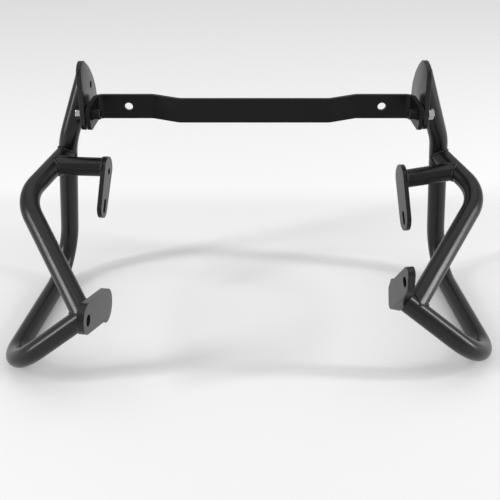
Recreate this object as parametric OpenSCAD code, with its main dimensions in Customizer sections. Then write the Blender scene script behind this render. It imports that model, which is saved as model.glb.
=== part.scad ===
// Motorcycle crash bars: a bent tube guard for each side, joined by a flat cross brace.
// Millimetres. x runs to the right, y to the back and z up, and the lower runs lie on z = 0.
// A pair is [left, right]. "out" is a distance from the middle plane, "back" is y, "up" is z.

/* [Tubes] */
// Outside diameter of every tube
tube_d = 25; // [23:0.5:27]
// Wall of every tube
tube_wall = 2; // [1.5:0.5:4]
// Centreline bend radius of the shoulder
shoulder_r = 80; // [65:5:90]
// Centreline bend radius of the heel
heel_r = 60; // [50:5:65]
// Centreline bend radius of the toe
toe_r = 60; // [50:5:65]
// Centreline bend radius of the front tube's elbow
elbow_r = 60; // [50:5:70]
// Wall that closes the front run's end at the lower plate
end_wall = 3; // [2:0.5:5]
// How far a saddle cut stops short of the other tube's centreline
cope_trim = 3; // [2:0.5:5]

/* [Main tubes] */
// Shoulder corner, outside the ear
shoulder_out = [38.5, 42.5]; // [36:0.5:45]
// Shoulder corner, back
shoulder_back = [107, 141]; // [101:1:146]
// Shoulder corner, up
shoulder_up = [229, 219]; // [214:1:234]
// Heel corner, outside the ear
heel_out = [65, 61]; // [58:0.5:68]
// Heel corner, back
heel_back = [159, 161]; // [154:1:166]
// Toe corner, outside the ear
toe_out = [102, 90.5]; // [88:0.5:105]
// Toe corner, back
toe_back = [-118, -113]; // [-124:1:-108]

/* [Front tubes] */
// Height at which the front tube leaves the main tube
front_up = [213, 195]; // [190:1:216]
// Elbow corner, outside the ear
elbow_out = [80.5, 87.5]; // [78:0.5:90]
// Elbow corner, back
elbow_back = [10, 62]; // [6:1:66]
// Elbow corner, up
elbow_up = [192, 172]; // [168:1:196]
// Distance from the lower plate back along the main tube to the front tube's foot
foot_seat = [8, 12]; // [6:0.5:14]

/* [Cross brace] */
// Distance between the inner faces of the two ears
brace_span = 421; // [414:1:426]
// Shift of the brace to the right of the middle plane
brace_shift = 5; // [0:0.5:7]
// Height of the flat bar
brace_h = 32.5; // [30:0.5:36]
// Thickness of the flat bar
brace_t = 5; // [4:0.5:6]
// Height of the bar's middle below the joint bolts
brace_drop = 3.5; // [2:0.5:6]
// Front face of the outer flats behind the joint bolts
brace_behind = 37.5; // [34:0.5:42]
// How far the middle flat is set forward of the outer flats
brace_step = 16; // [10:1:20]
// Half length of the middle flat
brace_inner = 99; // [90:1:105]
// Where the outer flats begin, from the brace's middle
brace_outer = 135; // [130:1:142]
// Distance between the two mounting holes
brace_hole_span = 337; // [320:1:344]
// Shift of the two mounting holes to the right of the bar's middle
brace_hole_shift = 1; // [0:0.5:3]
// Diameter of the two mounting holes
brace_hole_d = 11; // [8:0.5:14]
// Inside radius of the ear bends
ear_bend = 8; // [5:1:10]
// Ear length in front of the joint bolt
ear_front = 11; // [10:0.5:14]
// Corner radius of the ears
ear_corner = 8; // [4:1:12]

/* [Top joint] */
// Joint bolt, back
joint_back = 90; // [88:1:93]
// Joint bolt, up
joint_up = 273; // [270:1:276]
// Angle by which the top plates turn in towards the back
top_splay = 4.5; // [3:0.5:6]
// Thickness of the top plates
top_plate_t = 6.5; // [5:0.5:8]
// Where the main tube's centreline meets the top plate, behind the bolt
top_seat_back = [25, 33]; // [23:1:36]
// Where the main tube's centreline meets the top plate, above the bolt
top_seat_up = [38, 43]; // [35:1:45]
// Diameter of the spare hole in the left top plate
spare_hole_d = 9.5; // [8:0.5:12]

/* [Middle brackets] */
// Outer face of the bracket at the stub, inside the ear
bracket_in = [11, 4.5]; // [3:0.5:13]
// Stub tube, back
stub_back = [78, 108]; // [74:1:110]
// Stub tube at the bracket, up
stub_up = [204, 173]; // [170:1:206]
// Thickness of the middle brackets
bracket_t = 6; // [5:0.5:8]
// Angle by which brackets and lower plates turn in towards the back
lower_splay = 8.5; // [6:0.5:10]
// Width of the bracket slot
slot_w = 9; // [7:0.5:11]
// Overall length of the bracket slot
slot_l = 20; // [16:1:22]
// Diameter of the round hole in the left bracket
bracket_hole_d = 8.5; // [6:0.5:10]

/* [Lower plates] */
// Main tube's centreline at the plate's outer face, inside the ear
tip_in = [14, 27.5]; // [11:0.5:30]
// Main tube's centreline at the plate's outer face, back
tip_back = [-123, -97]; // [-126:1:-94]
// Main tube's centreline at the plate's outer face, up
tip_up = [106, 105]; // [102:1:109]
// Thickness of the lower plates
lower_plate_t = 9; // [7:0.5:10]
// Diameter of the mounting hole in each lower plate
lower_hole_d = [14, 13]; // [10:0.5:15]

/* [Bolts] */
// Thread diameter of the joint bolts
bolt_d = 8; // [6:0.5:8]
// Clearance between a bolt and its holes, across the diameter
bolt_clear = 1; // [0.4:0.1:1]
// Clearance between the bolt and its nut, across the diameter
thread_clear = 0.2; // [0.1:0.05:0.4]
// Diameter of the socket head
head_d = 13; // [12:0.5:14]
// Height of the socket head
head_h = 8; // [6:0.5:9]
// Width across flats of the head's socket
socket_af = 6; // [5:0.5:7]
// Width across flats of the nut
nut_af = 13; // [12:0.5:14]
// Height of the nut
nut_h = 6.5; // [5:0.5:7]
// Thread showing past the nut
thread_end = 3; // [2:0.5:4]
// Diameter of the flat and spacer washers
washer_d = 16; // [15:0.5:17]
// Thickness of the flat washer
washer_t = 1.6; // [1:0.1:2]
// Thickness of the spacer washer between ear and top plate
spacer_t = 2.5; // [1.6:0.1:3]
// Diameter of the spring washer
spring_d = 14; // [13:0.5:15]
// Thickness of the spring washer
spring_t = 2.1; // [1.6:0.1:2.5]
// Width of the spring washer's split
split_w = 1.2; // [0.8:0.1:1.6]

/* [Hidden] */
$fn = 64;
LEFT = 0;
RIGHT = 1;
coat = "#26282a";
bolt_black = "#1b1c1d";
zinc = "#b9bcbd";

tube_r = tube_d / 2;
joint_out = [brace_span / 2 - brace_shift, brace_span / 2 + brace_shift];
plate_in = brace_t + spacer_t;
plate_out = plate_in + top_plate_t;
top_trim = 12;       // main tube ends this far below the plate's top edge
end_cut = 80;        // half size of the blocks that cut tube ends to a plate's face
top_over = 48;       // main tube's length past the top plate before its end is cut
tip_over = 24;       // tube length past the lower plate or bracket before the cut
through = 1;         // cutters reach this far past the faces they cut
edge = 0.8;          // chamfer on bolt head and nut
lap = 0.4;           // straights run this far into a bend
swell = 0.03;        // bends are this much thicker on each face
tuck = 0.02;         // straight edges lie this far inside their circles' tangents
hole_d = bolt_d + bolt_clear;

// Plate outlines are circles [back, up, radius] joined by tangents, listed anticlockwise.
// Top plates are measured from the joint bolt.
top_outline = [
    [[8, 53, 15.5], [0, -12, 9], [53, -11, 10], [29, 10, 34]],
    [[15, 49, 16], [2.5, -12, 9], [58, -11, 10], [33, 14, 34.5]]];
spare_hole = [35.6, 28.2];
// Middle brackets are measured from the stub tube.
bracket_outline = [
    [[3.5, -4, 16.5], [-28.5, -45.5, 13.5]],
    [[7, -1, 18], [-25, -47.5, 17]]];
bracket_slot = [[-26.5, -44], [-26, -46.5]];
slot_turn = 52.3;    // slope of the slots from level
bracket_hole = [3.6, -7.5];
// Lower plates are measured from the main tube's centreline.
lower_outline = [
    [[-25, 9.5, 18.5], [34.3, -13.4, 17.4]],
    [[-11, 45.5, 8], [-8, 33, 15], [34, -24.5, 6.5], [33, -6, 15.5]]];
lobe = [43, -16, 21];
lower_hole = [[-26.7, 8.3], [-10.6, 35.4]];

// Vectors
function unit(v) = v / norm(v);
function turn(a, b, c) = acos(unit(b - a) * unit(c - b));
function setback(a, b, c, r) = r * tan(turn(a, b, c) / 2);
function between(p, q, t) = p + (q - p) * t;

// Centrelines, with the left side still unmirrored
function splayed(angle, p) = [
    p.x * cos(angle) - p.y * sin(angle),
    p.x * sin(angle) + p.y * cos(angle),
    p.z];
function top_seat(k) = [joint_out[k], joint_back, joint_up]
    + splayed(top_splay, [plate_out, top_seat_back[k], top_seat_up[k]]);
function shoulder(k) = [joint_out[k] + shoulder_out[k], shoulder_back[k], shoulder_up[k]];
function heel(k) = [joint_out[k] + heel_out[k], heel_back[k], tube_r];
function toe(k) = [joint_out[k] + toe_out[k], toe_back[k], tube_r];
function tip(k) = [joint_out[k] - tip_in[k], tip_back[k], tip_up[k]];
function main_line(k) = [
    top_seat(k) + unit(top_seat(k) - shoulder(k)) * top_over,
    shoulder(k), heel(k), toe(k),
    tip(k) + unit(tip(k) - toe(k)) * tip_over];
function front_head(k) =
    between(shoulder(k), heel(k), (front_up[k] - shoulder_up[k]) / (tube_r - shoulder_up[k]));
function elbow(k) = [joint_out[k] + elbow_out[k], elbow_back[k], elbow_up[k]];
function front_foot(k) = tip(k) + unit(toe(k) - tip(k)) * foot_seat[k];
function front_line(k) = [
    front_head(k) + unit(elbow(k) - front_head(k)) * cope_trim,
    elbow(k),
    front_foot(k) + unit(elbow(k) - front_foot(k)) * cope_trim];
function stub_foot(k) = let (h = front_head(k))
    between(h, elbow(k), (stub_back[k] - h.y) / (elbow_back[k] - h.y));
function stub_face(k) = [joint_out[k] - bracket_in[k], stub_back[k], stub_up[k]];

// Shapes
// A tube's cross-section, or the full disc for the solid that cuts a saddle
module section(hollow, grow) {
    difference() {
        circle(d = tube_d + 2 * grow);
        if (hollow)
            circle(d = tube_d - 2 * tube_wall - 2 * grow);
    }
}

// Turns z to run from p to q
module along(p, q) {
    v = q - p;
    translate(p)
        rotate([0, acos(v.z / norm(v)), atan2(v.y, v.x)])
            children();
}

module straight(p, q) {
    along(p, q)
        linear_extrude(height = norm(q - p))
            children();
}

// The children swept round the corner b of the line a, b, c
module bend(a, b, c, r) {
    u = unit(b - a);
    axis = unit(cross(u, unit(c - b)));
    inward = cross(axis, u);
    centre = b - u * setback(a, b, c, r) + inward * r;
    multmatrix([
        [-inward.x, u.x, axis.x, centre.x],
        [-inward.y, u.y, axis.y, centre.y],
        [-inward.z, u.z, axis.z, centre.z],
        [0, 0, 0, 1]])
        rotate_extrude(angle = turn(a, b, c), $fn = 96)
            translate([r, 0])
                children();
}

// A tube along a line of points, with a radius for each inner corner.
// Straights run a little way into the bends, which are drawn a hair thicker to take them.
module route(line, radii, hollow) {
    last = len(line) - 1;
    for (i = [0 : last - 1]) {
        u = unit(line[i + 1] - line[i]);
        from = i == 0 ? 0 : setback(line[i - 1], line[i], line[i + 1], radii[i - 1]);
        to = i == last - 1 ? 0 : setback(line[i], line[i + 1], line[i + 2], radii[i]);
        straight(line[i] + u * (i == 0 ? 0 : from - lap), line[i + 1] - u * (i == last - 1 ? 0 : to - lap))
            section(hollow, 0);
    }
    for (i = [1 : last - 1])
        bend(line[i - 1], line[i], line[i + 1], radii[i - 1])
            section(hollow, swell);
}

// Outward normal of the tangent that joins circle a to circle b
function tangent_n(a, b) = let (
    d = [b.x - a.x, b.y - a.y],
    u = unit(d),
    s = (a.z - b.z) / norm(d),
    c = sqrt(1 - s * s))
    [u.x * s + u.y * c, u.y * s - u.x * c];

module rounded_outline(circles) {
    count = len(circles);
    polygon([for (i = [0 : count - 1]) let (
        a = circles[i],
        b = circles[(i + 1) % count],
        n = tangent_n(a, b))
        each [[a.x, a.y] + (a.z - tuck) * n, [b.x, b.y] + (b.z - tuck) * n]]);
    for (c = circles)
        translate([c.x, c.y])
            circle(r = c.z);
}

// A bar from the near circle that runs into a larger lobe, straight on top and notched below
module lobed_outline(near, far, lobe) {
    top = tangent_n(lobe, near);
    low = tangent_n(near, far);
    polygon([
        [near.x, near.y] + (near.z - tuck) * top,
        [near.x, near.y] + (near.z - tuck) * low,
        [far.x, far.y] + (far.z - tuck) * low,
        [lobe.x, lobe.y],
        [lobe.x, lobe.y] + (lobe.z - tuck) * top]);
    for (c = [near, lobe])
        translate([c.x, c.y])
            circle(r = c.z);
}

// A plate with its outline in back and up, its inner face at x = from
module slab(from, thick) {
    translate([from, 0, 0])
        rotate([90, 0, 90])
            linear_extrude(height = thick)
                children();
}

// A round bar or bore along x at [back, up]
module pin(at, d, from, to) {
    translate([from, at.x, at.y])
        rotate([0, 90, 0])
            cylinder(d = d, h = to - from);
}

module side(k) {
    if (k == LEFT)
        mirror([1, 0, 0])
            children();
    else
        children();
}

module top_frame(k) {
    translate([joint_out[k], joint_back, joint_up])
        rotate([0, 0, top_splay])
            children();
}

module bracket_frame(k) {
    translate(stub_face(k))
        rotate([0, 0, lower_splay])
            children();
}

module lower_frame(k) {
    translate(tip(k))
        rotate([0, 0, lower_splay])
            children();
}

// Everything inward of the given x near the frame's origin
module inner_block(x = 0) {
    translate([x - end_cut, -end_cut, -end_cut])
        cube([end_cut, 2 * end_cut, 2 * end_cut]);
}

// Tubes
module main_solid(k) {
    route(main_line(k), [shoulder_r, heel_r, toe_r], false);
}

// Closes the front run's end at the lower plate
module end_plug(k) {
    u = unit(toe(k) - tip(k));
    intersection() {
        straight(tip(k) - u * tip_over, tip(k) + u * tip_over)
            circle(d = tube_d - tube_wall);
        lower_frame(k)
            inner_block(end_wall);
    }
}

module main_tube(k) {
    a = top_outline[k][0];
    color(coat)
        side(k)
            difference() {
                union() {
                    route(main_line(k), [shoulder_r, heel_r, toe_r], true);
                    end_plug(k);
                }
                top_frame(k)
                    inner_block(plate_out);
                top_frame(k)
                    translate([-end_cut / 2, -end_cut / 2, a.y + a.z - top_trim])
                        cube([2 * end_cut, 2 * end_cut, end_cut]);
                lower_frame(k)
                    inner_block();
            }
}

module front_solid(k) {
    route(front_line(k), [elbow_r], false);
}

module front_tube(k) {
    color(coat)
        side(k)
            difference() {
                route(front_line(k), [elbow_r], true);
                main_solid(k);
                lower_frame(k)
                    inner_block();
            }
}

module stub_tube(k) {
    outer = stub_foot(k);
    inner = stub_face(k);
    u = unit(inner - outer);
    color(coat)
        side(k)
            difference() {
                straight(outer + u * cope_trim, inner + u * tip_over)
                    section(true, 0);
                front_solid(k);
                bracket_frame(k)
                    inner_block();
            }
}

// Plates
module top_plate(k) {
    color(coat)
        side(k)
            top_frame(k)
                difference() {
                    slab(plate_in, top_plate_t)
                        rounded_outline(top_outline[k]);
                    pin([0, 0], hole_d, plate_in - through, plate_out + through);
                    if (k == LEFT)
                        pin(spare_hole, spare_hole_d, plate_in - through, plate_out + through);
                }
}

module bracket_slot_cut(k) {
    reach = (slot_l - slot_w) / 2;
    step = reach * [cos(slot_turn), sin(slot_turn)];
    for (s = [-1, 1])
        pin(bracket_slot[k] + s * step, slot_w, -bracket_t - through, through);
    translate([-bracket_t - through, bracket_slot[k].x, bracket_slot[k].y])
        rotate([slot_turn, 0, 0])
            translate([0, -reach, -slot_w / 2])
                cube([bracket_t + 2 * through, 2 * reach, slot_w]);
}

module middle_bracket(k) {
    color(coat)
        side(k)
            bracket_frame(k)
                difference() {
                    slab(-bracket_t, bracket_t)
                        rounded_outline(bracket_outline[k]);
                    bracket_slot_cut(k);
                    if (k == LEFT)
                        pin(bracket_hole, bracket_hole_d, -bracket_t - through, through);
                }
}

module lower_plate(k) {
    color(coat)
        side(k)
            lower_frame(k)
                difference() {
                    slab(-lower_plate_t, lower_plate_t)
                        if (k == LEFT)
                            lobed_outline(lower_outline[k][0], lower_outline[k][1], lobe);
                        else
                            rounded_outline(lower_outline[k]);
                    pin(lower_hole[k], lower_hole_d[k], -lower_plate_t - through, through);
                }
}

// Cross brace
// The strip's centreline in plan, right half, measured from the brace's middle and the bolts
flat_y = brace_behind + brace_t / 2;
ear_x = (brace_span + brace_t / cos(top_splay)) / 2;
brace_plan = [
    [0, flat_y - brace_step],
    [brace_inner, flat_y - brace_step],
    [brace_outer, flat_y],
    [ear_x - flat_y * tan(top_splay), flat_y],
    [brace_span / 2, 0] + brace_t / 2 * [cos(top_splay), sin(top_splay)]
        + ear_front * [sin(top_splay), -cos(top_splay)]];
step_r = 14;         // centreline radius of the bends beside the middle flat
brace_low = joint_up - brace_drop - brace_h / 2;

// A flat strip on edge, bent round the inner points of a plan line
module strip(plan, radii) {
    last = len(plan) - 1;
    for (i = [0 : last - 1]) {
        u = unit(plan[i + 1] - plan[i]);
        from = i == 0 ? 0 : setback(plan[i - 1], plan[i], plan[i + 1], radii[i - 1]);
        to = i == last - 1 ? 0 : setback(plan[i], plan[i + 1], plan[i + 2], radii[i]);
        start = i == 0 ? 0 : from - lap;
        end = norm(plan[i + 1] - plan[i]) - (i == last - 1 ? 0 : to - lap);
        translate(plan[i] + u * start)
            rotate(atan2(u.y, u.x))
                translate([0, -brace_t / 2, 0])
                    cube([end - start, brace_t, brace_h]);
    }
    for (i = [1 : last - 1]) {
        u = unit(plan[i] - plan[i - 1]);
        w = unit(plan[i + 1] - plan[i]);
        way = sign(u.x * w.y - u.y * w.x);
        r = radii[i - 1];
        back = setback(plan[i - 1], plan[i], plan[i + 1], r);
        angle = turn(plan[i - 1], plan[i], plan[i + 1]);
        start = way > 0 ? u : -w;
        at = way > 0 ? plan[i] - u * back : plan[i] + w * back;
        centre = at + r * [-start.y, start.x];
        translate(centre)
            rotate(atan2(at.y - centre.y, at.x - centre.x))
                rotate_extrude(angle = angle, $fn = 96)
                    translate([r - brace_t / 2 - swell, 0])
                        square([brace_t + 2 * swell, brace_h]);
    }
}

module ear_corner_cut(up) {
    translate([-through, -ear_front, brace_low - joint_up + (up ? brace_h : 0)])
        mirror([0, 0, up ? 1 : 0])
            rotate([90, 0, 90])
                linear_extrude(height = brace_t + 2 * through)
                    difference() {
                        translate([-through, -through])
                            square(ear_corner + through);
                        translate([ear_corner, ear_corner])
                            circle(r = ear_corner);
                    }
}

module cross_brace() {
    color(coat)
        difference() {
            translate([brace_shift, joint_back, brace_low])
                for (k = [LEFT, RIGHT])
                    side(k)
                        strip(brace_plan, [step_r, step_r, ear_bend + brace_t / 2]);
            for (k = [LEFT, RIGHT])
                side(k)
                    top_frame(k) {
                        pin([0, 0], hole_d, -through, brace_t + through);
                        ear_corner_cut(true);
                        ear_corner_cut(false);
                    }
            for (s = [-1, 1])
                translate([
                    brace_shift + brace_hole_shift + s * brace_hole_span / 2,
                    joint_back + flat_y,
                    brace_low + brace_h / 2])
                    rotate([90, 0, 0])
                        cylinder(d = brace_hole_d, h = brace_t + 2 * through, center = true);
        }
}

// Joint bolts
module washer(d, from, thick, bore) {
    difference() {
        pin([0, 0], d, from, from + thick);
        pin([0, 0], bore, from - through, from + thick + through);
    }
}

module joint_bolt(k) {
    seat = -washer_t - spring_t;
    color(bolt_black)
        side(k)
            top_frame(k)
                difference() {
                    translate([seat, 0, 0])
                        rotate([0, -90, 0])
                            rotate_extrude()
                                polygon([
                                    [0, seat - plate_out - nut_h - thread_end],
                                    [bolt_d / 2 - edge, seat - plate_out - nut_h - thread_end],
                                    [bolt_d / 2, seat - plate_out - nut_h - thread_end + edge],
                                    [bolt_d / 2, 0],
                                    [head_d / 2, 0],
                                    [head_d / 2, head_h - edge],
                                    [head_d / 2 - edge, head_h],
                                    [0, head_h]]);
                    translate([seat - head_h - through, 0, 0])
                        rotate([0, 90, 0])
                            cylinder(d = socket_af / cos(30), h = head_h / 2 + through, $fn = 6);
                }
}

module spring_washer(k) {
    color(bolt_black)
        side(k)
            top_frame(k)
                difference() {
                    washer(spring_d, -washer_t - spring_t, spring_t, bolt_d + bolt_clear / 2);
                    translate([-washer_t - spring_t / 2, 0, spring_d / 2])
                        rotate([0, 0, 20])
                            cube([2 * spring_t + 2, split_w, spring_d], center = true);
                }
}

module flat_washer(k) {
    color(bolt_black)
        side(k)
            top_frame(k)
                washer(washer_d, -washer_t, washer_t, bolt_d + bolt_clear / 2);
}

module spacer_washer(k) {
    color(bolt_black)
        side(k)
            top_frame(k)
                washer(washer_d, brace_t, spacer_t, bolt_d + bolt_clear / 2);
}

module nut(k) {
    across = nut_af / cos(30);
    color(zinc)
        side(k)
            top_frame(k)
                translate([plate_out, 0, 0])
                    rotate([0, 90, 0])
                        difference() {
                            intersection() {
                                rotate([0, 0, 30])
                                    cylinder(d = across, h = nut_h, $fn = 6);
                                rotate_extrude()
                                    polygon([
                                        [0, 0],
                                        [across / 2 + edge / 2, 0],
                                        [across / 2 + edge / 2, nut_h - edge],
                                        [across / 2 - edge, nut_h],
                                        [0, nut_h]]);
                            }
                            translate([0, 0, -through])
                                cylinder(d = bolt_d + thread_clear, h = nut_h + 2 * through);
                        }
}

main_tube(LEFT);  // left_main_tube
front_tube(LEFT);  // left_front_tube
stub_tube(LEFT);  // left_stub_tube
top_plate(LEFT);  // left_top_plate
middle_bracket(LEFT);  // left_middle_bracket
lower_plate(LEFT);  // left_lower_plate
main_tube(RIGHT);  // right_main_tube
front_tube(RIGHT);  // right_front_tube
stub_tube(RIGHT);  // right_stub_tube
top_plate(RIGHT);  // right_top_plate
middle_bracket(RIGHT);  // right_middle_bracket
lower_plate(RIGHT);  // right_lower_plate
cross_brace();
joint_bolt(LEFT);  // left_joint_bolt
spring_washer(LEFT);  // left_spring_washer
flat_washer(LEFT);  // left_flat_washer
spacer_washer(LEFT);  // left_spacer_washer
nut(LEFT);  // left_nut
joint_bolt(RIGHT);  // right_joint_bolt
spring_washer(RIGHT);  // right_spring_washer
flat_washer(RIGHT);  // right_flat_washer
spacer_washer(RIGHT);  // right_spacer_washer
nut(RIGHT);  // right_nut
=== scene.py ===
import math

import bpy
from mathutils import Matrix, Vector


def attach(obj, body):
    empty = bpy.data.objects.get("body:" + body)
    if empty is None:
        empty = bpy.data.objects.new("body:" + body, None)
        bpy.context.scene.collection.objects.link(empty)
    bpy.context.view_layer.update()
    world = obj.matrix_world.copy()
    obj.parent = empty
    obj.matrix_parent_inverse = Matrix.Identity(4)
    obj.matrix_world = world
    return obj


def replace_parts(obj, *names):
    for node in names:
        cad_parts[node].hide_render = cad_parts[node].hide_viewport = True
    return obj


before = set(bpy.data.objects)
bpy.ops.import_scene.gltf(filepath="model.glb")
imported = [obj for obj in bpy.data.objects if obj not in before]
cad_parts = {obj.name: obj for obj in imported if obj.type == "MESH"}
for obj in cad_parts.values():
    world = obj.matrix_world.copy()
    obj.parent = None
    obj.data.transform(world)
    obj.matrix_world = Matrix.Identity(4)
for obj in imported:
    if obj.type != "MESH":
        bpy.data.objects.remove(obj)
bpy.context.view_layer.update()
print("stage: frame loaded")

MM = 0.001
UP = Vector((0, 0, 1))
EDGE_SAMPLES = 8
CIRCLE_SIDES = 64
FLAT_DEGREES = 1
SHARP_DEGREES = 60
SMOOTH_DEGREES = 35
EDGE_STEPS = 3
DRILL_SPARE_MM = 10


def toLinear(c):
    return c / 12.92 if c <= 0.04045 else ((c + 0.055) / 1.055) ** 2.4


def hexColour(text):
    parts = [int(text[i:i + 2], 16) / 255 for i in (1, 3, 5)]
    return tuple(toLinear(c) for c in parts) + (1.0,)


def addNode(tree, kind, inputs=None, **settings):
    node = tree.nodes.new(kind)
    for key, value in settings.items():
        setattr(node, key, value)
    for key, value in (inputs or {}).items():
        socket = node.inputs[key]
        if isinstance(value, bpy.types.NodeSocket):
            tree.links.new(value, socket)
        else:
            socket.default_value = value
    return node


def emptyMaterial(name):
    material = bpy.data.materials.new(name)
    material.use_nodes = True
    tree = material.node_tree
    tree.nodes.clear()
    output = addNode(tree, "ShaderNodeOutputMaterial")
    return material, tree, output


def finishMaterial(tree, output, shader):
    tree.links.new(shader.outputs[0], output.inputs["Surface"])


def coatedSteel(name, look):
    material, tree, output = emptyMaterial(name)
    place = addNode(tree, "ShaderNodeTexCoord").outputs["Object"]
    cloud = addNode(tree, "ShaderNodeTexNoise", {
        "Vector": place, "Scale": 1 / (look["cloudMm"] * MM), "Detail": 3.0, "Roughness": 0.5})
    skin = addNode(tree, "ShaderNodeTexNoise", {
        "Vector": place, "Scale": 1 / (look["skinMm"] * MM), "Detail": 2.0, "Roughness": 0.55})
    shade = addNode(tree, "ShaderNodeMix", {
        0: cloud.outputs["Fac"], 6: hexColour(look["dark"]), 7: hexColour(look["light"])}, data_type="RGBA")
    sheen = addNode(tree, "ShaderNodeMapRange", {
        "Value": cloud.outputs["Fac"], "To Min": look["roughness"] - look["roughSpread"],
        "To Max": look["roughness"] + look["roughSpread"]})
    edge = addNode(tree, "ShaderNodeBevel", {"Radius": look["edgeMm"] * MM}, samples=EDGE_SAMPLES)
    bump = addNode(tree, "ShaderNodeBump", {
        "Height": skin.outputs["Fac"], "Strength": look["skinStrength"], "Distance": look["skinDepthMm"] * MM,
        "Normal": edge.outputs[0]})
    shader = addNode(tree, "ShaderNodeBsdfPrincipled", {
        "Base Color": shade.outputs[2], "Roughness": sheen.outputs[0], "Normal": bump.outputs[0],
        "Specular IOR Level": look["specular"], "Metallic": look["metallic"]})
    finishMaterial(tree, output, shader)
    return material


powderCoat = {
    "dark": "#070708", "light": "#0b0c0d", "cloudMm": 18, "skinMm": 0.9, "skinDepthMm": 0.03,
    "skinStrength": 0.4, "edgeMm": 0.7, "roughness": 0.29, "roughSpread": 0.04, "specular": 0.38,
    "metallic": 0.0}
barCoat = {
    "dark": "#060607", "light": "#0a0a0b", "cloudMm": 25, "skinMm": 0.9, "skinDepthMm": 0.02,
    "skinStrength": 0.3, "edgeMm": 0.6, "roughness": 0.38, "roughSpread": 0.04, "specular": 0.2,
    "metallic": 0.0}
boltCoat = {
    "dark": "#060607", "light": "#0b0b0c", "cloudMm": 4, "skinMm": 0.4, "skinDepthMm": 0.01,
    "skinStrength": 0.4, "edgeMm": 0.3, "roughness": 0.30, "roughSpread": 0.05, "specular": 0.2,
    "metallic": 0.0}
zincPlate = {
    "dark": "#b4b8ba", "light": "#d6d8d8", "cloudMm": 3, "skinMm": 0.5, "skinDepthMm": 0.01,
    "skinStrength": 0.4, "edgeMm": 0.3, "roughness": 0.18, "roughSpread": 0.05, "specular": 0.5,
    "metallic": 1.0}

looks = {
    "powder_coat": coatedSteel("black_satin_powder_coat", powderCoat),
    "bar_coat": coatedSteel("black_satin_bar_coat", barCoat),
    "bolt_black": coatedSteel("black_oxide_bolt_steel", boltCoat),
    "zinc": coatedSteel("zinc_plated_steel", zincPlate),
}


def dress(obj, slotName):
    obj.data.materials.clear()
    obj.data.materials.append(looks[slotName])


for name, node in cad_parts.items():
    if "nut" in name:
        dress(node, "zinc")
    elif name == "cross_brace":
        dress(node, "bar_coat")
    elif "bolt" in name or "washer" in name:
        dress(node, "bolt_black")
    else:
        dress(node, "powder_coat")
print("stage: materials")

def deselectAll():
    if bpy.context.object and bpy.context.object.mode != "OBJECT":
        bpy.ops.object.mode_set(mode="OBJECT")
    bpy.ops.object.select_all(action="DESELECT")


def editAll():
    bpy.ops.object.mode_set(mode="EDIT")
    bpy.ops.mesh.select_all(action="SELECT")


def mirrored(side, v):
    return Vector((-v[0], v[1], v[2])) if side == "left" else Vector(v)


def splayed(degrees, x, y, z):
    return Matrix.Rotation(math.radians(degrees), 3, "Z") @ Vector((x, y, z))


def cutOff(point, outward):
    editAll()
    bpy.ops.mesh.bisect(plane_co=point * MM, plane_no=outward, clear_outer=True, use_fill=True)
    bpy.ops.object.mode_set(mode="OBJECT")


def combine(obj, other, operation):
    deselectAll()
    bpy.context.view_layer.objects.active = obj
    modifier = obj.modifiers.new("combine", "BOOLEAN")
    modifier.operation = operation
    modifier.object = other
    modifier.solver = "EXACT"
    bpy.ops.object.modifier_apply(modifier=modifier.name)
    bpy.data.objects.remove(other)


def finishPiece(obj, name, smooth=SMOOTH_DEGREES):
    deselectAll()
    obj.name = name
    obj.select_set(True)
    bpy.context.view_layer.objects.active = obj
    bpy.ops.object.transform_apply(location=True, rotation=True, scale=True)
    bpy.ops.object.shade_smooth_by_angle(angle=math.radians(smooth))
    dress(obj, "powder_coat")
    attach(obj, "root")
    return obj


# Places are in mm in the shared frame, given unmirrored and mirrored in X for the left-hand half.
# A plate's own places are (back, up, radius) from its joint or tip. Its outs are the two faces' places.
TUBE_R = 12.5
TOP_SPLAY = 4.5
LOW_SPLAY = 8.5
EYE = Vector((-1.0, -1011.0, 691.9))
joint = {"left": Vector((205.5, 90, 273)), "right": Vector((215.5, 90, 273))}
seatAt = {"left": (28, 35), "right": (36, 38)}
tip = {"left": Vector((191.5, -123, 106)), "right": Vector((188, -97, 105))}

topPlate = {
    "outs": (7.5, 14.0), "edgeMm": 0.6,
    "left": {
        "hull": [(7, 52.5, 15.5), (18.5, 39.5, 20), (26.2, 32.7, 20), (34.8, 22.7, 20), (41.5, 10.6, 20),
                 (42.6, 5, 20), (53, -11, 10), (0, -12, 9)],
        "holes": [(0, 0, 4.5), (35.6, 28.2, 4.75)]},
    "right": {
        "hull": [(13, 47.5, 15), (21.5, 44, 20), (30.4, 37.2, 20), (35.9, 31.4, 20), (40.1, 26.3, 20),
                 (46.2, 14.8, 20), (47, 9, 20), (58, -11, 10), (2.5, -12, 9)],
        "holes": [(0, 0, 4.5)]}}
lowerPlate = {
    "outs": (-9.0, 0.0),
    "bar": [(-12.5, 47.5, 8.3), (-10.3, 32.7, 11.8), (23.8, 7.4, 10), (34.8, -24.3, 6.2)],
    "weldedRim": {"outs": (-2.0, 0.0), "circles": [(-10.3, 28.5, 11.8), (22.6, -21.1, 5.0)]},
    "lobe": [(35.2, -24.0, 5.8), (35.3, -8, 10.6), (33.5, 5, 7.5)],
    "holes": [(-10.6, 35.4, 6.5)]}


def disk(side, origin, degrees, outs, circle, spare=0):
    back, up, radius = circle
    centre = origin + splayed(degrees, (outs[0] + outs[1]) / 2, back, up)
    turn = -degrees if side == "left" else degrees
    bpy.ops.mesh.primitive_cylinder_add(
        vertices=CIRCLE_SIDES, radius=radius * MM, depth=(outs[1] - outs[0] + spare) * MM,
        location=mirrored(side, centre) * MM, rotation=(0, math.radians(90), math.radians(turn)))
    return bpy.context.object


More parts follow.
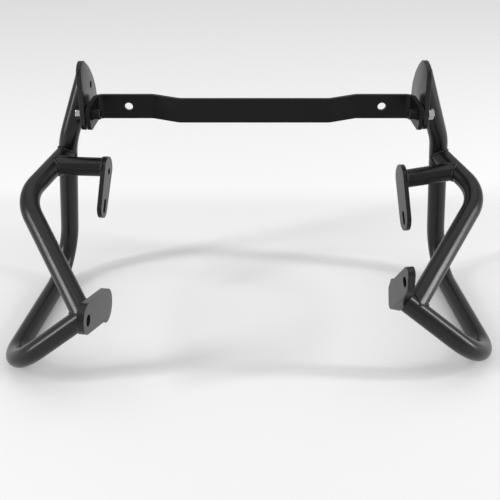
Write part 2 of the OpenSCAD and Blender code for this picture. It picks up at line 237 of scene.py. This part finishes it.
def hullOf(side, origin, degrees, outs, circles, edgeMm=0.0, extra=None):
    deselectAll()
    obj = disk(side, origin, degrees, outs, circles[0])
    bpy.ops.object.transform_apply(location=True, rotation=True, scale=True)
    bpy.ops.object.mode_set(mode="EDIT")
    for circle in circles[1:]:
        disk(side, origin, degrees, outs, circle)
    for circle in extra["circles"] if extra else []:
        disk(side, origin, degrees, extra["outs"], circle)
    bpy.ops.mesh.select_all(action="SELECT")
    bpy.ops.mesh.convex_hull(use_existing_faces=False)
    bpy.ops.mesh.select_all(action="SELECT")
    bpy.ops.mesh.dissolve_limited(angle_limit=math.radians(FLAT_DEGREES))
    if edgeMm:
        bpy.ops.mesh.select_all(action="DESELECT")
        bpy.ops.mesh.edges_select_sharp(sharpness=math.radians(SHARP_DEGREES))
        bpy.ops.mesh.bevel(offset=edgeMm * MM, segments=EDGE_STEPS, affect="EDGES")
    bpy.ops.object.mode_set(mode="OBJECT")
    return obj


def drill(obj, side, origin, degrees, outs, holes):
    for hole in holes:
        deselectAll()
        combine(obj, disk(side, origin, degrees, outs, hole, DRILL_SPARE_MM), "DIFFERENCE")


for side in ("left", "right"):
    look = topPlate[side]
    plate = hullOf(side, joint[side], TOP_SPLAY, topPlate["outs"], look["hull"], topPlate["edgeMm"])
    drill(plate, side, joint[side], TOP_SPLAY, topPlate["outs"], look["holes"])
    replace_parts(finishPiece(plate, side + "_top_plate_oval"), side + "_top_plate")

lowerPlace = ("right", tip["right"], LOW_SPLAY, lowerPlate["outs"])
barPlate = hullOf(*lowerPlace, lowerPlate["bar"], extra=lowerPlate["weldedRim"])
lobePlate = hullOf(*lowerPlace, lowerPlate["lobe"])
combine(barPlate, lobePlate, "UNION")
drill(barPlate, *lowerPlace, lowerPlate["holes"])
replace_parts(finishPiece(barPlate, "right_lower_plate_notched"), "right_lower_plate")
print("stage: plates")

mainTube = {
    "radii": (80, 60, 60), "rings": 64, "bendSteps": 14, "overTopMm": 45, "overTipMm": 30,
    "trimUp": {"left": 51, "right": 48.5}, "topBlock": (20, 40, 60), "tipBlock": (0, 0, 70), "blockOut": -60,
    "left": [(244, 107, 229), (270.5, 159, 12.5), (307.5, -118, 12.5)],
    "right": [(258, 141, 219), (276.5, 161, 12.5), (306, -113, 12.5)],
    "rim": ((-19.3, 20.9), (18.8, -24.3))}


def sweepTube(line, radii, look):
    deselectAll()
    here = line[0]
    heading = (line[1] - line[0]).normalized()
    bpy.ops.mesh.primitive_circle_add(
        vertices=look["rings"], radius=TUBE_R * MM, location=here * MM,
        rotation=heading.to_track_quat("Z", "Y").to_euler())
    obj = bpy.context.object
    bpy.ops.object.transform_apply(location=True, rotation=True, scale=True)
    editAll()
    for corner, after, radius in zip(line[1:], line[2:], radii):
        leaving = (after - corner).normalized()
        turn = heading.angle(leaving)
        start = corner - heading * radius * math.tan(turn / 2)
        bpy.ops.mesh.extrude_region_move(TRANSFORM_OT_translate={"value": (start - here) * MM})
        inward = (leaving - heading * leaving.dot(heading)).normalized()
        bpy.ops.mesh.spin(
            steps=look["bendSteps"], angle=-turn, center=(start + inward * radius) * MM,
            axis=heading.cross(leaving).normalized())
        here = corner + leaving * radius * math.tan(turn / 2)
        heading = leaving
    bpy.ops.mesh.extrude_region_move(TRANSFORM_OT_translate={"value": (line[-1] - here) * MM})
    bpy.ops.mesh.edge_face_add()
    bpy.ops.object.mode_set(mode="OBJECT")
    return obj


topNormal = splayed(TOP_SPLAY, 1, 0, 0)
lowNormal = splayed(LOW_SPLAY, 1, 0, 0)
# The right tube's end stops on the plane through the camera and the plate's rim.
rimA, rimB = (tip["right"] + splayed(LOW_SPLAY, 0, *at) for at in mainTube["rim"])
rimNormal = (rimB - rimA).cross(rimA - EYE).normalized()
if rimNormal.x < 0:
    rimNormal = -rimNormal

seatOut = topPlate["outs"][1]
tipOut = lowerPlate["outs"][1]
seat = {side: joint[side] + splayed(TOP_SPLAY, seatOut, *seatAt[side]) for side in joint}
trim = {side: Vector((0, 0, joint[side].z + mainTube["trimUp"][side])) for side in joint}
for side in ("left", "right"):
    corners = [Vector(c) for c in mainTube[side]]
    ends = [seat[side], *corners, tip[side]]
    ends[0] = ends[0] + (ends[0] - ends[1]).normalized() * mainTube["overTopMm"]
    ends[-1] = ends[-1] + (ends[-1] - ends[-2]).normalized() * mainTube["overTipMm"]
    tube = sweepTube([mirrored(side, v) for v in ends], mainTube["radii"], mainTube)
    cutOff(trim[side], UP)
    editAll()
    bpy.ops.mesh.normals_make_consistent(inside=False)
    bpy.ops.object.mode_set(mode="OBJECT")
    blocker = hullOf(side, joint[side], TOP_SPLAY, (mainTube["blockOut"], seatOut), [mainTube["topBlock"]])
    combine(tube, blocker, "DIFFERENCE")
    blocker = hullOf(side, tip[side], LOW_SPLAY, (mainTube["blockOut"], tipOut), [mainTube["tipBlock"]])
    if side == "right":
        deselectAll()
        bpy.context.view_layer.objects.active = blocker
        cutOff(rimA, rimNormal)
    combine(tube, blocker, "DIFFERENCE")
    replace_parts(finishPiece(tube, side + "_main_tube_swept"), side + "_main_tube")
print("stage: main tubes")

bead = {
    "radiusMm": 1.3, "rings": 128, "ringSides": 10, "rippleMm": 0.3, "ripplePitchMm": 2.2,
    "leastRipples": 8, "smooth": 50}


def ellipseBead(name, centre, across, along, semiAcross, semiAlong, cuts):
    deselectAll()
    bpy.ops.mesh.primitive_torus_add(
        major_segments=bead["rings"], minor_segments=bead["ringSides"],
        major_radius=semiAcross * MM, minor_radius=bead["radiusMm"] * MM)
    obj = bpy.context.object
    mesh = obj.data
    grow = semiAlong / semiAcross
    length = math.pi * (semiAcross + semiAlong)
    ripples = max(bead["leastRipples"], round(length / bead["ripplePitchMm"]))
    every = max(2, round(bead["rings"] / ripples))
    for v in mesh.vertices:
        angle = math.atan2(v.co.y, v.co.x) % (2 * math.pi)
        ring = round(angle / (2 * math.pi) * bead["rings"]) % bead["rings"]
        v.select = ring % every == 0
    for edge in mesh.edges:
        edge.select = all(mesh.vertices[i].select for i in edge.vertices)
    for face in mesh.polygons:
        face.select = False
    bpy.ops.object.mode_set(mode="EDIT")
    bpy.ops.transform.shrink_fatten(value=bead["rippleMm"] * MM)
    bpy.ops.mesh.select_all(action="SELECT")
    bpy.ops.transform.resize(value=(1, grow, 1))
    bpy.ops.object.mode_set(mode="OBJECT")
    turnMatrix = Matrix((across, along, across.cross(along))).transposed().to_4x4()
    obj.matrix_world = Matrix.Translation(centre * MM) @ turnMatrix
    bpy.ops.object.transform_apply(location=True, rotation=True, scale=True)
    for point, outward in cuts:
        cutOff(point, outward)
    finishPiece(obj, name, bead["smooth"])


def plateBead(name, side, centre, plateNormal, axis, cuts=()):
    c, n, a = (mirrored(side, v) for v in (centre, plateNormal, axis))
    n.normalize()
    a.normalize()
    slope = (a - n * a.dot(n)).normalized()
    planes = [(mirrored(side, p), mirrored(side, d)) for p, d in cuts]
    ellipseBead(name, c, n.cross(slope).normalized(), slope, TUBE_R, TUBE_R / abs(a.dot(n)), planes)


def saddleBead(name, side, at, mainAxis, branchAxis, cuts=()):
    j, a, b = (mirrored(side, v) for v in (at, mainAxis, branchAxis))
    a.normalize()
    b.normalize()
    cross = a.cross(b).normalized()
    planes = [(mirrored(side, p), mirrored(side, d)) for p, d in cuts]
    for half, lean in (("a", a + b), ("b", b - a)):
        lean = lean.normalized()
        angle = math.acos(max(-1, min(1, lean.dot(b))))
        ellipseBead(
            name + "_" + half, j, cross, lean, TUBE_R, TUBE_R / math.sin(angle), [(j, -lean)] + planes)


joints = {
    "left": {"elbow": (286, 10, 192), "frontUp": 213, "footSeat": 8, "stubFace": (194.5, 78, 204)},
    "right": {"elbow": (303, 62, 172), "frontUp": 195, "footSeat": 12, "stubFace": (211, 108, 173)}}

for side, at in joints.items():
    shoulder, heel, toe = (Vector(v) for v in mainTube[side])
    elbow, stubFace = Vector(at["elbow"]), Vector(at["stubFace"])
    end = tip[side]
    head = shoulder.lerp(heel, (at["frontUp"] - shoulder.z) / (heel.z - shoulder.z))
    foot = end + (toe - end).normalized() * at["footSeat"]
    stubFoot = head.lerp(elbow, (stubFace.y - head.y) / (elbow.y - head.y))
    plateBead(side + "_top_weld", side, seat[side], topNormal, seat[side] - shoulder, [(trim[side], UP)])
    plateBead(side + "_bracket_weld", side, stubFace, lowNormal, stubFoot - stubFace)
    rimCut = [(rimA, rimNormal)] if side == "right" else []
    plateBead(side + "_lower_weld", side, end, lowNormal, toe - end, rimCut)
    saddleBead(side + "_front_weld", side, head, heel - shoulder, elbow - head)
    saddleBead(side + "_stub_weld", side, stubFoot, elbow - head, stubFace - stubFoot)
    saddleBead(side + "_foot_weld", side, foot, toe - end, elbow - foot, [(end, -lowNormal)])
print("stage: weld beads")

sweep = {"sizeM": 16.0, "edgeYM": 0.405, "bandM": 0.05, "middle": 0.76, "far": 0.84, "roughness": 0.9}


def floorMaterial(name, look):
    material, tree, output = emptyMaterial(name)
    place = addNode(tree, "ShaderNodeTexCoord").outputs["Object"]
    split = addNode(tree, "ShaderNodeSeparateXYZ", {"Vector": place})
    # Painted light: the floor colour steps from the middle tone to a lighter far tone across edgeYM, standing
    # in for the lamp light that falls off towards the far floor.
    depth = addNode(tree, "ShaderNodeMapRange", {
        "Value": split.outputs["Y"], "From Min": look["edgeYM"] - look["bandM"],
        "From Max": look["edgeYM"] + look["bandM"], "To Min": look["middle"], "To Max": look["far"]},
        interpolation_type="SMOOTHSTEP")
    shader = addNode(tree, "ShaderNodeBsdfPrincipled", {
        "Base Color": depth.outputs[0], "Roughness": look["roughness"], "Specular IOR Level": 0.0})
    finishMaterial(tree, output, shader)
    return material


deselectAll()
bpy.ops.mesh.primitive_plane_add(size=sweep["sizeM"], location=(0, 0, 0))
floor = bpy.context.object
floor.name = "studio_floor"
floor.data.materials.append(floorMaterial("pale_floor_with_painted_light_step", sweep))


softboxes = {
    "overhead_softbox": {"place": (0, 1.0, 3.6), "target": (0, 0.35, 0), "size": (4.5, 3.0), "watts": 22},
    "front_strip": {"place": (0, -0.55, 2.3), "target": (0, -0.05, 0.15), "size": (2.6, 0.16), "watts": 5},
    "left_softbox": {"place": (-1.9, -0.68, 1.05), "target": (0, 0, 0.1), "size": (0.15, 1.4), "watts": 26},
    "right_softbox": {"place": (2.0, -0.2, 0.85), "target": (0, 0, 0.1), "size": (0.18, 1.4), "watts": 26}}

for name, look in softboxes.items():
    deselectAll()
    bpy.ops.object.light_add(type="AREA", location=look["place"])
    lamp = bpy.context.object
    lamp.name = name
    lamp.data.shape = "RECTANGLE"
    lamp.data.size, lamp.data.size_y = look["size"]
    lamp.data.energy = look["watts"]
    aim = Vector(look["target"]) - Vector(look["place"])
    lamp.rotation_euler = aim.to_track_quat("-Z", "Y").to_euler()

WORLD_STRENGTH = 0.6
world = bpy.data.worlds.new("studio_air")
bpy.context.scene.world = world
world.use_nodes = True
world.node_tree.nodes.clear()
air = addNode(world.node_tree, "ShaderNodeBackground", {"Color": (1, 1, 1, 1), "Strength": WORLD_STRENGTH})
addNode(world.node_tree, "ShaderNodeOutputWorld", {"Surface": air.outputs[0]})

view = {"down": 29.4, "lens": 64.8, "sensor": 36.0}
deselectAll()
bpy.ops.object.camera_add(location=EYE * MM, rotation=(math.radians(90 - view["down"]), 0, 0))
camera = bpy.context.object
camera.name = "photo_camera"
camera.data.lens = view["lens"]
camera.data.sensor_width = view["sensor"]
scene = bpy.context.scene
scene.camera = camera
scene.view_settings.view_transform = "Standard"
scene.view_settings.look = "None"
print("stage: light and camera")
